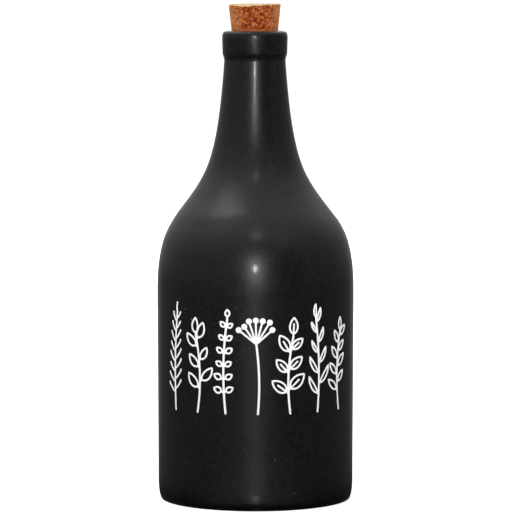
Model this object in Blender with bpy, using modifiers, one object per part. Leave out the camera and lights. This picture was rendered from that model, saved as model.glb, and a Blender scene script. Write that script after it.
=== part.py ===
"""Ceramic vinegar bottle: a glazed stoneware bottle turned from one outline, shut with a tapered cork.

Metres, +Z up. The bottle stands on the ground at z = 0, with its axis on Z.
"""

import math

import bpy
from mathutils import Matrix, Vector
from mathutils.geometry import interpolate_bezier

# Body of the bottle
BODY_RADIUS = 0.0500
SHOULDER_HEIGHT = 0.1069
HEEL_RADIUS = 0.0496
HEEL_HEIGHT = 0.0095

# Foot, with the raised ring that it stands on and the shallow recess inside the ring
FOOT_RADIUS = 0.0476
RING_INNER_RADIUS = 0.0400
RING_EDGE = 0.0006
RECESS_DEPTH = 0.0025
RECESS_RADIUS = 0.0375

# Shoulder and neck: two curves that meet where the outline turns from convex to concave
TURN_RADIUS = 0.0294
TURN_HEIGHT = 0.1599
TURN_SLOPE = math.radians(57.8)
SHOULDER_HANDLE = 0.0333
TURN_HANDLE_BELOW = 0.0208
TURN_HANDLE_ABOVE = 0.0114
NECK_HANDLE = 0.0420
NECK_RADIUS = 0.01555
NECK_HEIGHT = 0.2225
NECK_LEAN = math.radians(4.1)

# Collar round the mouth, with its rounded lip
COLLAR_RADIUS = 0.01655
COLLAR_HEIGHT = 0.2296
LIP_START_HEIGHT = 0.2335
LIP_CREST_RADIUS = 0.0129
LIP_CREST_HEIGHT = 0.2385
LIP_DROP = 0.0004
LIP_CORNER_DROP = 0.0010
MOUTH_EDGE_HEIGHT = 0.2375

# Cork: a plain taper, leaning a little in the mouth towards its shown side
CORK_LENGTH = 0.0270
CORK_TOP_HEIGHT = 0.2520
CORK_TOP_RADIUS = 0.0130
CORK_BOTTOM_RADIUS = 0.0102
CORK_EDGE = 0.0006
CORK_SEAT_HEIGHT = 0.2320
CORK_LEAN = math.radians(0.8)
CORK_LEAN_TOWARDS = math.radians(-115.0)
CORK_RINGS = 10
CORK_ROUGHNESS = 0.0007
CORK_GRAIN = 0.0050

# Gap that the cork keeps to the bottle
FIT_GAP = 0.0003
SOCKET_FLOOR_GAP = 0.0008

TURN_STEPS = 64
CORK_STEPS = 40
MERGE_DISTANCE = 0.00002


def clear_scene():
    for thing in list(bpy.data.objects):
        bpy.data.objects.remove(thing, do_unlink=True)


def new_material(name, colour, roughness, metallic=0.0):
    material = bpy.data.materials.new(name)
    material.use_nodes = True
    shader = material.node_tree.nodes["Principled BSDF"]
    shader.inputs["Base Color"].default_value = (*colour, 1.0)
    shader.inputs["Roughness"].default_value = roughness
    shader.inputs["Metallic"].default_value = metallic
    material.diffuse_color = (*colour, 1.0)
    return material


def curve_between(start, start_handle, end_handle, end, count):
    """Points (radius, height) along a Bezier curve, both ends included."""
    knots = [Vector((radius, height, 0.0)) for radius, height in (start, start_handle, end_handle, end)]
    return [(point.x, point.y) for point in interpolate_bezier(*knots, count)]


def quarter_round(start, end, corner, count):
    """Points from start to end along a quarter ellipse that stays inside the given corner."""
    points = []
    for step in range(count + 1):
        angle = 0.5 * math.pi * step / count
        from_corner_a = 1.0 - math.sin(angle)
        from_corner_b = 1.0 - math.cos(angle)
        radius = corner[0] + (start[0] - corner[0]) * from_corner_a + (end[0] - corner[0]) * from_corner_b
        height = corner[1] + (start[1] - corner[1]) * from_corner_a + (end[1] - corner[1]) * from_corner_b
        points.append((radius, height))
    return points


def socket_radius(height):
    """Radius of the bore, which follows the cork's taper at the fit gap."""
    cork_bottom = CORK_TOP_HEIGHT - CORK_LENGTH
    taper = (CORK_TOP_RADIUS - CORK_BOTTOM_RADIUS) / CORK_LENGTH
    return CORK_BOTTOM_RADIUS + taper * (height - cork_bottom) + FIT_GAP


def socket_outline():
    """From the middle of the socket's floor, out and up the bore to the edge of the mouth."""
    floor = CORK_TOP_HEIGHT - CORK_LENGTH - SOCKET_FLOOR_GAP
    return [(0.0, floor), (socket_radius(floor), floor), (socket_radius(MOUTH_EDGE_HEIGHT), MOUTH_EDGE_HEIGHT)]


def lip_outline():
    """From the edge of the mouth over the lip's crest to the collar's wall."""
    inner_edge = (socket_radius(MOUTH_EDGE_HEIGHT), MOUTH_EDGE_HEIGHT)
    crest = (LIP_CREST_RADIUS, LIP_CREST_HEIGHT)
    inner = quarter_round(inner_edge, crest, (inner_edge[0], LIP_CREST_HEIGHT), 3)
    over = (COLLAR_RADIUS - LIP_DROP, LIP_CREST_HEIGHT - LIP_DROP)
    corner = (COLLAR_RADIUS, LIP_CREST_HEIGHT - LIP_CORNER_DROP)
    outer = curve_between(crest, over, corner, (COLLAR_RADIUS, LIP_START_HEIGHT), 8)
    return inner + outer[1:] + [(COLLAR_RADIUS, COLLAR_HEIGHT)]


def neck_outline():
    """From the groove under the collar down the neck to the point where the curve turns over."""
    turn = Vector((TURN_RADIUS, TURN_HEIGHT))
    down = Vector((math.cos(TURN_SLOPE), -math.sin(TURN_SLOPE)))
    neck = Vector((NECK_RADIUS, NECK_HEIGHT))
    neck_down = Vector((math.sin(NECK_LEAN), -math.cos(NECK_LEAN)))
    return curve_between(neck, neck + neck_down * NECK_HANDLE, turn - down * TURN_HANDLE_ABOVE, turn, 15)


def shoulder_outline():
    """From the turn of the curve over the shoulder to the top of the upright wall."""
    turn = Vector((TURN_RADIUS, TURN_HEIGHT))
    down = Vector((math.cos(TURN_SLOPE), -math.sin(TURN_SLOPE)))
    wall_top = (BODY_RADIUS, SHOULDER_HEIGHT)
    wall_handle = (BODY_RADIUS, SHOULDER_HEIGHT + SHOULDER_HANDLE)
    return curve_between(turn, turn + down * TURN_HANDLE_BELOW, wall_handle, wall_top, 14)


def foot_outline():
    """From the heel round to the ring, along the ring and up into the recess, to the axis."""
    heel = (HEEL_RADIUS, HEEL_HEIGHT)
    points = quarter_round(heel, (FOOT_RADIUS, 0.0), (HEEL_RADIUS, 0.0), 6)
    recess_edge = (RING_INNER_RADIUS - RING_EDGE, RING_EDGE)
    return points + [(RING_INNER_RADIUS, 0.0), recess_edge, (RECESS_RADIUS, RECESS_DEPTH), (0.0, RECESS_DEPTH)]


def turned_piece(name, outline, steps, material, collection):
    """A solid of revolution about Z: the outline, top to bottom down its outer side, in a Screw modifier."""
    mesh = bpy.data.meshes.new(name)
    points = [(radius, 0.0, height) for radius, height in outline]
    edges = [(index, index + 1) for index in range(len(points) - 1)]
    mesh.from_pydata(points, edges, [])
    mesh.materials.append(material)
    piece = bpy.data.objects.new(name, mesh)
    collection.objects.link(piece)
    screw = piece.modifiers.new("turn", "SCREW")
    screw.axis = "Z"
    screw.steps = steps
    screw.render_steps = steps
    screw.use_merge_vertices = True
    screw.merge_threshold = MERGE_DISTANCE
    screw.use_smooth_shade = True
    return piece


def make_bottle(collection):
    glaze = new_material("black_glaze", (0.012, 0.012, 0.013), 0.28)
    outline = socket_outline() + lip_outline()[1:] + neck_outline() + shoulder_outline()[1:] + foot_outline()
    return turned_piece("bottle", outline, TURN_STEPS, glaze, collection)


def cork_outline():
    """From the middle of the top over its edge and down the taper to the axis, with z = 0 at the seat."""
    top_height = CORK_TOP_HEIGHT - CORK_SEAT_HEIGHT
    rim_height = top_height - CORK_EDGE
    bottom_height = top_height - CORK_LENGTH
    top = [(CORK_TOP_RADIUS * ring / 5, top_height) for ring in range(5)]
    rim_start = (CORK_TOP_RADIUS - CORK_EDGE, top_height)
    rim = quarter_round(rim_start, (CORK_TOP_RADIUS, rim_height), (CORK_TOP_RADIUS, top_height), 2)
    side = []
    for ring in range(1, CORK_RINGS + 1):
        part = ring / CORK_RINGS
        radius = CORK_TOP_RADIUS + (CORK_BOTTOM_RADIUS - CORK_TOP_RADIUS) * part
        side.append((radius, rim_height + (bottom_height - rim_height) * part))
    return top + rim + side + [(0.0, bottom_height)]


def make_cork(collection, holder):
    cork_colour = new_material("cork", (0.38, 0.17, 0.075), 0.85)
    outline = cork_outline()
    cork = turned_piece("cork", outline, CORK_STEPS, cork_colour, collection)

    # Only the part that stands out of the mouth is crumbled; the part in the bore stays smooth.
    exposed = cork.vertex_groups.new(name="exposed")
    exposed_height = LIP_CREST_HEIGHT + CORK_ROUGHNESS - CORK_SEAT_HEIGHT
    for index, (radius, height) in enumerate(outline):
        if height > exposed_height:
            exposed.add([index], 1.0, "REPLACE")
    crumble = bpy.data.textures.new("cork_crumble", "CLOUDS")
    crumble.noise_scale = CORK_GRAIN
    crumble.noise_depth = 2
    displace = cork.modifiers.new("crumble", "DISPLACE")
    displace.texture = crumble
    displace.texture_coords = "LOCAL"
    displace.vertex_group = exposed.name
    displace.strength = CORK_ROUGHNESS
    displace.mid_level = 0.5

    cork.parent = holder
    tip_axis = Vector((-math.sin(CORK_LEAN_TOWARDS), math.cos(CORK_LEAN_TOWARDS), 0.0))
    cork.matrix_local = Matrix.Rotation(CORK_LEAN, 4, tip_axis)
    return cork


def main():
    clear_scene()
    collection = bpy.data.collections.new("ceramic_vinegar_bottle")
    bpy.context.scene.collection.children.link(collection)

    make_bottle(collection)

    # The cork leans about this empty, which is on the axis half way down the cork's seat in the bore.
    cork_seat = bpy.data.objects.new("cork_seat", None)
    cork_seat.location = (0.0, 0.0, CORK_SEAT_HEIGHT)
    collection.objects.link(cork_seat)
    make_cork(collection, cork_seat)


main()
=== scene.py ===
"""Looks of a black stoneware vinegar bottle: satin glaze, bare foot, pressed cork and a white herb print.

Metres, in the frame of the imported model: the bottle stands on z = 0 and its printed side faces -Y.
"""

import math
from functools import partial

import bpy
from mathutils import Matrix, Vector
from mathutils.geometry import interpolate_bezier


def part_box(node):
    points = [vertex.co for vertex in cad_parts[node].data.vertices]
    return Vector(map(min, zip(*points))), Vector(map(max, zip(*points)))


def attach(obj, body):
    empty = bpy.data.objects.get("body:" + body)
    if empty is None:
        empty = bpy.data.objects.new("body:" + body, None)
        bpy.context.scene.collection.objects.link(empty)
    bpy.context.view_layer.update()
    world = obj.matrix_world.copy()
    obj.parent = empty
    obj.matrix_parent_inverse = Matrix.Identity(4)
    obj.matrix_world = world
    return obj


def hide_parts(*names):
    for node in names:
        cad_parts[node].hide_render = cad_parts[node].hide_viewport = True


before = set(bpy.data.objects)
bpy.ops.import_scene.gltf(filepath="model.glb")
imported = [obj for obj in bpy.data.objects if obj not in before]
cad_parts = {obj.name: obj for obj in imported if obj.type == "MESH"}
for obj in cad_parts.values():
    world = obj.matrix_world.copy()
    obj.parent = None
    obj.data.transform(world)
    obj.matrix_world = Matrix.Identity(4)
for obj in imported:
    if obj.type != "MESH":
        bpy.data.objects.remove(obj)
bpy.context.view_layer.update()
bottle_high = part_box("bottle")[1]

# Body and foot
BODY_RADIUS = bottle_high.x
SHOULDER_HEIGHT = 0.1069
HEEL_RADIUS = 0.0496
HEEL_HEIGHT = 0.0095
FOOT_RADIUS = 0.0476

# Bare ring under the foot, with its rounded edges, and the recess inside it
RING_INNER_RADIUS = 0.0400
RING_OUTER_EDGE = 0.0004
RING_INNER_EDGE = 0.0006
RING_INNER_CORNER = 0.0004
RING_INNER_RISE = 0.0005
RECESS_RADIUS = 0.0375
RECESS_DEPTH = 0.0025
RECESS_EDGE = 0.0008
RECESS_WALL_OUT = 0.0006
RECESS_WALL_DROP = 0.0007
CLAY_RISE = 0.0005

# Shoulder and neck, two curves that meet where the outline turns from convex to concave
TURN_RADIUS = 0.0294
TURN_HEIGHT = 0.1599
TURN_SLOPE = math.radians(57.8)
SHOULDER_HANDLE = 0.0333
TURN_HANDLE_BELOW = 0.0208
TURN_HANDLE_ABOVE = 0.0114
NECK_HANDLE = 0.0420
NECK_RADIUS = 0.01562
NECK_HEIGHT = 0.2225
NECK_LEAN = math.radians(4.1)

# The neck is set a little off the body's axis, between these two heights on the shoulder
NECK_SHIFT = (-0.00032, -0.00040, 0.0)
SHIFT_LOW = 0.1400
SHIFT_HIGH = 0.1480

# Step under the collar, from the end of the neck to the collar's slightly swelling wall
NECK_END_RISE = 0.0009
STEP_LOW_RADIUS = 0.01566
STEP_LOW_HEIGHT = 0.2240
STEP_HIGH_RADIUS = 0.01638
STEP_HIGH_HEIGHT = 0.2271
STEP_FOOT_HANDLE = 0.0003
STEP_HANDLE = 0.0009
SWELL_HANDLE = 0.0008
SWELL_OUT = 0.00006
SWELL_IN = 0.00002

# Collar, lip and bore
COLLAR_LOW_RADIUS = 0.01650
COLLAR_LOW_HEIGHT = 0.2295
COLLAR_RADIUS = 0.01664
LIP_START_HEIGHT = 0.2340
LIP_CREST_RADIUS = 0.0129
LIP_CREST_HEIGHT = bottle_high.z
LIP_DROP = 0.00028
LIP_CORNER_DROP = 0.0010
MOUTH_RADIUS = 0.0118
MOUTH_HEIGHT = LIP_CREST_HEIGHT - 0.0010
BORE_BOTTOM_RADIUS = 0.0104
BORE_BOTTOM_HEIGHT = 0.2242

# Lower edge of the glaze, a rounded bead round the bare ring, just off the ground
GLAZE_EDGE_HEIGHT = 0.00025
GLAZE_THICKNESS = 0.0002
GLAZE_FLOOR_HEIGHT = 0.0034

# Cork: it is squeezed into the bore, so it is wider than the plain solid, which keeps a gap to the bore
CORK_LENGTH = 0.0270
CORK_TOP_HEIGHT = 0.2520
CORK_TOP_RADIUS = 0.0132
CORK_BOTTOM_RADIUS = 0.0104
CORK_EDGE = 0.0003
CORK_SEAT_HEIGHT = 0.2320
CORK_LEAN = math.radians(0.8)
CORK_LEAN_TOWARDS = math.radians(-115.0)

# Heights above the cork's seat, and how far below the lip the cork's fine rings begin
CORK_TOP = CORK_TOP_HEIGHT - CORK_SEAT_HEIGHT
CORK_BARE_FROM = LIP_CREST_HEIGHT - CORK_SEAT_HEIGHT
CORK_RINGS_BELOW_LIP = 0.0015

# Grains of the cork: size of the larger kind, share of it that the smaller have, and how crooked both are
GRAIN_SIZE = 0.0022
SMALL_GRAIN_SHARE = 0.62
GRAIN_BEND = 0.0011
SEAM_DEPTH = 0.00016
CRUMB_SHARE = 0.08
CRUMB_EASE = 0.02
CRUMB_DEPTH = 0.0005
NIBBLE_REACH = 0.0014
NIBBLE_DEPTH = 0.0003
RELIEF_REACH = 0.0012

# Print: the height that it stands on, and the widths, relief and steps of its lines
PRINT_LOW = 0.0480
LINE_WIDTH = 0.00115
LEAF_LINE_WIDTH = 0.0010
LINE_RELIEF = 0.00018
LINE_STEP = 0.0006

# Handles of a leaf's bent edges, on a leaf of unit length, and the width under which it has one edge
LEAF_NEAR_HANDLE = 0.12
LEAF_FAR_HANDLE = 0.72
LEAF_LEAST_WIDTH = 0.01

# Black glaze, with the thin glossy skin over it
GLAZE_ROUGHNESS = 0.33
GLAZE_RELIEF = 0.000012
SKIN_WEIGHT = 0.17
SKIN_ROUGHNESS = 0.133
GLAZE_DARK = (0.0001, 0.0001, 0.0001)
GLAZE_PALE = (0.0066, 0.0066, 0.0067)
# Paler lip: thinner glaze, and partly a painted highlight
GLAZE_ON_LIP_WITH_HIGHLIGHT = (0.085, 0.078, 0.073)
GLAZE_DUST = (0.11, 0.11, 0.105)
# Painted shade at the heel and in the groove under the collar
GLAZE_PAINTED_SHADE = (0.0006, 0.0006, 0.0006)

# Heights of the lip's thin glaze and painted highlight, and of the painted shade at the heel and in the
# groove under the collar
LIP_THIN_AND_HIGHLIGHT = (LIP_CREST_HEIGHT - 0.0008, LIP_CREST_HEIGHT - 0.0001)
HEEL_PAINTED_SHADE = (0.0010, 0.0055)
GROOVE_SHADE_BEGINS = (STEP_LOW_HEIGHT - 0.0002, STEP_LOW_HEIGHT + 0.0008)
GROOVE_SHADE_ENDS = (STEP_HIGH_HEIGHT - 0.0012, STEP_HIGH_HEIGHT + 0.0005)
COLLAR_BEGINS = (STEP_HIGH_HEIGHT, COLLAR_LOW_HEIGHT)

# Bare clay of the foot
CLAY_DARK = (0.30, 0.215, 0.145)
CLAY_PALE = (0.44, 0.345, 0.25)
CLAY_IRON = (0.07, 0.035, 0.02)

# Cork: tones of its grains by their chance, from dark to pale, then of its other parts
GRAIN_TONES = [
    (0.00, (0.200, 0.025, 0.003)),
    (0.20, (0.292, 0.058, 0.009)),
    (0.45, (0.364, 0.096, 0.022)),
    (0.70, (0.422, 0.139, 0.050)),
    (0.88, (0.500, 0.190, 0.085)),
    (1.00, (0.540, 0.245, 0.125)),
]
# Painted sheen of the cork's left and right sides
CORK_PAINTED_SHEEN = (0.640, 0.345, 0.140)
CORK_PINK = (0.420, 0.110, 0.068)
CORK_GOLD = (0.440, 0.150, 0.012)
CORK_SEAM = (0.110, 0.010, 0.001)
CORK_BARK = (0.115, 0.018, 0.006)
# Painted light just above the lip
CORK_LIGHT_ABOVE_LIP = (0.480, 0.180, 0.065)
# Worn rim and top, also painted as a highlight, pale on the left and golden on the right
CORK_WORN_LIT = (0.90, 0.66, 0.38)
CORK_WORN_LIT_RIGHT = (0.74, 0.47, 0.23)
CORK_RELIEF = 0.00008

# How far above the lip the cork is painted lighter against the lip's shade, and how deep its worn edge, also
# a painted highlight, runs down
LIGHT_ABOVE_LIP_REACH = 0.0016
WORN_LIT_DEPTH = 0.0009
WORN_LIT_LEAST_DEPTH = 0.0004
WORN_LIT_UNEVENNESS = 0.0003
WORN_LIT_EASE = 0.0003

# White enamel of the print
ENAMEL_TONE = (0.93, 0.93, 0.92)
ENAMEL_ROUGHNESS = 0.42
ENAMEL_RELIEF = 0.00002

# Camera, as far off and as high as the one that took the picture
CAMERA_DISTANCE = 1.700
CAMERA_HEIGHT = 0.2617
CAMERA_PITCH = math.radians(4.66)
CAMERA_SIDE = 0.0010
CAMERA_LENS = 234.0
SENSOR_WIDTH = 36.0

# Round area lights: place, diameter, power and whether the glaze mirrors them
AREA_LIGHTS = {
    "key": ((-0.012, -1.70, 0.41), 0.10, 4.8, True),
    "front_fill": ((0.1, -1.6, 0.6), 1.0, 6.5, False),
    "left_fill": ((-1.3, -1.0, 0.5), 1.0, 7.0, False),
    "right_fill": ((1.3, -1.0, 0.5), 1.0, 7.0, False),
    "back_fill": ((0.0, 1.6, 0.5), 1.0, 5.0, False),
}
LIT_MIDDLE = (0.0, 0.0, 0.13)

# Room as the glaze mirrors it, over the height z of a direction: level, slope and bend
ROOM_LEVEL = 0.365
ROOM_SLOPE = -0.845
ROOM_BEND = 1.137

# What a full turn towards each side adds: at eye height, and more with the height of the direction
ROOM_SIDES = {
    "left": (-1.0, "X", -0.126, 0.786),
    "right": (1.0, "X", -0.186, 0.573),
    "back": (1.0, "Y", -0.068, 0.894),
}

# Soft lamps, in degrees: azimuth from the camera's side towards the right, elevation and reach; then strength
SOFT_LAMPS = {
    "window_foot": (-120.0, 54.0, 10.0, 1.85),
    "window_side": (-90.0, 54.0, 10.0, 1.11),
    "window_middle": (-74.0, 61.0, 10.0, 1.59),
    "window_top": (-82.0, 68.0, 10.0, 0.99),
    "window_corner": (-59.0, 68.0, 10.0, 0.78),
    "window_end": (-55.0, 75.0, 10.0, 1.32),
    "backdrop": (180.0, 0.0, 35.0, 0.20),
    "back_right": (150.0, 40.0, 22.0, 0.32),
    "front_lamp": (2.0, 48.0, 7.0, 3.20),
    "right_lamp": (43.0, 38.0, 6.0, 0.6),
    "dark_corner": (38.0, 3.0, 26.0, -0.175),
}

# White that the camera sees past the bottle, and the light that it sees added to the floor
BACKDROP_STRENGTH = 1.1
FLOOR_LIFT = 0.6

# Floor as the glaze mirrors it: painted shadow near the foot, before it, far off, at the back, a bright spot
# that is a painted reflection of the key light, and its gloss
FLOOR_NEAR_SHADE = 0.004
FLOOR_BEFORE = 0.138
FLOOR_FAR = 0.079
FLOOR_BACK = 0.245
# Painted reflection of the key light on the floor before the foot
FLOOR_KEY_REFLECTION = 1.1
FLOOR_GLOSS = 0.07
FLOOR_GLOSS_ROUGHNESS = 0.08

# Distances from the axis over which those parts of the floor grow or fade, and how far it runs
FLOOR_START = BODY_RADIUS - 0.005
FLOOR_NEAR_END = 0.12
FLOOR_FAR_FULL = 0.15
FLOOR_WIDE_END = 0.30
BEFORE_GROWS = (0.049, 0.062)
KEY_REFLECTION_GROWS = (0.056, 0.066)
KEY_REFLECTION_FADES = (0.066, 0.090)
FLOOR_REACH = 6.0


def add_node(tree, kind, inputs=None, **settings):
    """A new node. Each input is a plain value or another node's output."""
    node = tree.nodes.new(kind)
    for name, value in settings.items():
        setattr(node, name, value)
    for name, value in (inputs or {}).items():
        if isinstance(value, bpy.types.NodeSocket):
            tree.links.new(value, node.inputs[name])
        else:
            node.inputs[name].default_value = value
    return node


def link(output, socket):
    """Links an output to an input."""
    output.id_data.links.new(output, socket)


def feed(kind, inputs, **settings):
    """The first output of a new node, in the tree that its inputs come from."""
    tree = next(value.id_data for value in inputs.values() if isinstance(value, bpy.types.NodeSocket))
    return add_node(tree, kind, inputs, **settings).outputs[0]


def calc(operation, *values):
    """The output of a Math node."""
    return feed("ShaderNodeMath", dict(enumerate(values)), operation=operation)


# Math nodes by short names
plus = partial(calc, "ADD")
minus = partial(calc, "SUBTRACT")
times = partial(calc, "MULTIPLY")
ratio = partial(calc, "DIVIDE")
times_plus = partial(calc, "MULTIPLY_ADD")


def vector_calc(operation, *values):
    """The vector output of a Vector Math node, whose SCALE takes a vector and a number."""
    inputs = dict(enumerate(values))
    if operation == "SCALE":
        inputs = {0: values[0], "Scale": values[1]}
    return feed("ShaderNodeVectorMath", inputs, operation=operation)


def axes_of(vector):
    """The X, Y and Z outputs of a vector."""
    return feed("ShaderNodeSeparateXYZ", {0: vector}).node.outputs


def vector_of(**axes):
    """A vector from its X, Y and Z, with 0 for each that isn't given."""
    return feed("ShaderNodeCombineXYZ", axes)


def ease(value, low, high, from_value=0.0, to_value=1.0):
    """Smooth step of a value between low and high."""
    inputs = {"Value": value, "From Min": low, "From Max": high, "To Min": from_value, "To Max": to_value}
    return feed("ShaderNodeMapRange", inputs, interpolation_type="SMOOTHSTEP")


def new_tree(name, kind, inputs, outputs):
    """A node group and its end nodes' sockets, each given by its name and its type or default number."""
    tree = bpy.data.node_groups.new(name, kind)
    for direction, sockets in (("INPUT", inputs), ("OUTPUT", outputs)):
        for label, value in sockets.items():
            typed = isinstance(value, str)
            socket_type = "NodeSocket" + (value if typed else type(value).__name__.title())
            socket = tree.interface.new_socket(name=label, in_out=direction, socket_type=socket_type)
            if not typed:
                socket.default_value = value
    return tree, tree.nodes.new("NodeGroupInput").outputs, tree.nodes.new("NodeGroupOutput").inputs


def geometry_tree(name, inputs):
    """A Geometry Nodes tree that puts out one geometry."""
    return new_tree(name, "GeometryNodeTree", inputs, {"Geometry": "Geometry"})


def point_places(tree):
    """Where each point of a geometry is."""
    return tree.nodes.new("GeometryNodeInputPosition").outputs[0]


def moved_to(geometry, place):
    """The geometry with its points moved to a place."""
    return feed("GeometryNodeSetPosition", {"Geometry": geometry, "Position": place})


def smoothed(geometry):
    """The geometry shaded smooth."""
    return feed("GeometryNodeSetShadeSmooth", {"Geometry": geometry, "Shade Smooth": True})


def joined(first, *others):
    """The parts as one geometry."""
    whole = feed("GeometryNodeJoinGeometry", {"Geometry": first})
    for part in others:
        link(part, whole.node.inputs["Geometry"])
    return whole


def put_out(geometry, material, result):
    """Ends a tree: makes its instances real and sets their material."""
    real = feed("GeometryNodeRealizeInstances", {"Geometry": geometry})
    made = feed("GeometryNodeSetMaterial", {"Geometry": real, "Material": material})
    link(made, result["Geometry"])


def placed(name, data):
    """A new object in the scene."""
    thing = bpy.data.objects.new(name, data)
    bpy.context.scene.collection.objects.link(thing)
    return thing


def finish_mesh(name, host, tree, values):
    """Runs a geometry tree on the host mesh and keeps the result as a plain mesh object at the origin."""
    worker = placed(name + "_work", host)
    modifier = worker.modifiers.new(tree.name, "NODES")
    modifier.node_group = tree
    for item in tree.interface.items_tree:
        if item.in_out == "INPUT" and item.name in values:
            modifier[item.identifier] = values[item.name]
    evaluated = worker.evaluated_get(bpy.context.evaluated_depsgraph_get())
    mesh = bpy.data.meshes.new_from_object(evaluated)
    mesh.name = name
    bpy.data.objects.remove(worker)
    return placed(name, mesh)


def line_mesh(name, outline):
    """A chain of edges through the outline's (radius, height) points."""
    mesh = bpy.data.meshes.new(name)
    points = [(radius, 0.0, height) for radius, height in outline]
    mesh.from_pydata(points, [(index, index + 1) for index in range(len(points) - 1)], [])
    return mesh


def curve_between(start, start_handle, end_handle, end, count):
    """Points along a Bezier curve, both ends included."""
    knots = [Vector((radius, height, 0.0)) for radius, height in (start, start_handle, end_handle, end)]
    return [(point.x, point.y) for point in interpolate_bezier(*knots, count)]


def line_between(start, end, count):
    """Points on a straight line, both ends included."""
    first, last = Vector(start), Vector(end)
    return [tuple(first.lerp(last, step / (count - 1))) for step in range(count)]


def quarter_round(start, end, corner, count):
    """Points from start to end along a quarter ellipse that stays inside the given corner."""
    a, b, c = Vector(start), Vector(end), Vector(corner)
    points = []
    for step in range(count + 1):
        angle = 0.5 * math.pi * step / count
        points.append(tuple(c + (a - c) * (1.0 - math.sin(angle)) + (b - c) * (1.0 - math.cos(angle))))
    return points


def foot_radius_at(height):
    """Radius of the rounded heel at a height below its upper end."""
    drop = (HEEL_HEIGHT - height) / HEEL_HEIGHT
    return FOOT_RADIUS + (HEEL_RADIUS - FOOT_RADIUS) * math.sqrt(1.0 - drop * drop)


def neck_end():
    """Where the neck's curve ends, and its direction there."""
    return Vector((NECK_RADIUS, NECK_HEIGHT)), Vector((-math.sin(NECK_LEAN), math.cos(NECK_LEAN)))


def glazed_outline():
    """From the axis under the body, out and up the wall, over the lip and down the bore to the axis."""
    edge_height = GLAZE_EDGE_HEIGHT + GLAZE_THICKNESS
    edge = (foot_radius_at(edge_height), edge_height)
    inner = edge[0] - 2.0 * GLAZE_THICKNESS
    lowest = (inner + GLAZE_THICKNESS, GLAZE_EDGE_HEIGHT)
    points = [(0.0, GLAZE_FLOOR_HEIGHT), (inner, GLAZE_FLOOR_HEIGHT)]
    points += quarter_round((inner, edge_height), lowest, (inner, GLAZE_EDGE_HEIGHT), 4)
    points += quarter_round(lowest, edge, (edge[0], GLAZE_EDGE_HEIGHT), 4)[1:]
    heel_steps = 12
    for step in range(1, heel_steps + 1):
        height = edge_height + (HEEL_HEIGHT - edge_height) * step / heel_steps
        points.append((foot_radius_at(height), height))
    wall_top = (BODY_RADIUS, SHOULDER_HEIGHT)
    wall_handle = (BODY_RADIUS, SHOULDER_HEIGHT + SHOULDER_HANDLE)
    turn = Vector((TURN_RADIUS, TURN_HEIGHT))
    up = Vector((-math.cos(TURN_SLOPE), math.sin(TURN_SLOPE)))
    neck, neck_up = neck_end()
    points += line_between((HEEL_RADIUS, HEEL_HEIGHT), wall_top, 60)[1:]
    points += curve_between(wall_top, wall_handle, turn - up * TURN_HANDLE_BELOW, turn, 56)[1:]
    points += curve_between(turn, turn + up * TURN_HANDLE_ABOVE, neck - neck_up * NECK_HANDLE, neck, 64)[1:]
    points += collar_outline()
    bore_bottom = (BORE_BOTTOM_RADIUS, BORE_BOTTOM_HEIGHT)
    points += line_between((MOUTH_RADIUS, MOUTH_HEIGHT), bore_bottom, 6)[1:]
    return points + [(0.0, BORE_BOTTOM_HEIGHT)]


def collar_outline():
    """From the neck over the step under the collar, up its wall and over the lip to the mouth's edge."""
    neck, neck_up = neck_end()
    neck_top = neck + neck_up * NECK_END_RISE
    below_step = (STEP_LOW_RADIUS, STEP_LOW_HEIGHT - STEP_FOOT_HANDLE)
    step_low = (STEP_LOW_RADIUS, STEP_LOW_HEIGHT)
    in_step_low = (STEP_LOW_RADIUS, STEP_LOW_HEIGHT + STEP_HANDLE)
    in_step_high = (STEP_HIGH_RADIUS, STEP_HIGH_HEIGHT - STEP_HANDLE)
    step_high = (STEP_HIGH_RADIUS, STEP_HIGH_HEIGHT)
    above_step = (STEP_HIGH_RADIUS + SWELL_OUT, STEP_HIGH_HEIGHT + SWELL_HANDLE)
    under_wall = (COLLAR_LOW_RADIUS - SWELL_IN, COLLAR_LOW_HEIGHT - SWELL_HANDLE)
    wall_low = (COLLAR_LOW_RADIUS, COLLAR_LOW_HEIGHT)
    wall_high = (COLLAR_RADIUS, LIP_START_HEIGHT)
    corner = (COLLAR_RADIUS, LIP_CREST_HEIGHT - LIP_CORNER_DROP)
    over = (COLLAR_RADIUS - LIP_DROP, LIP_CREST_HEIGHT - LIP_DROP)
    crest = (LIP_CREST_RADIUS, LIP_CREST_HEIGHT)
    mouth = (MOUTH_RADIUS, MOUTH_HEIGHT)
    points = line_between(neck, neck_top, 3)[1:]
    points += curve_between(neck_top, neck_top + neck_up * STEP_FOOT_HANDLE, below_step, step_low, 7)[1:]
    points += curve_between(step_low, in_step_low, in_step_high, step_high, 14)[1:]
    points += curve_between(step_high, above_step, under_wall, wall_low, 9)[1:]
    points += line_between(wall_low, wall_high, 5)[1:]
    points += curve_between(wall_high, corner, over, crest, 22)[1:]
    return points + quarter_round(crest, mouth, (MOUTH_RADIUS, LIP_CREST_HEIGHT), 7)[1:]


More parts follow.
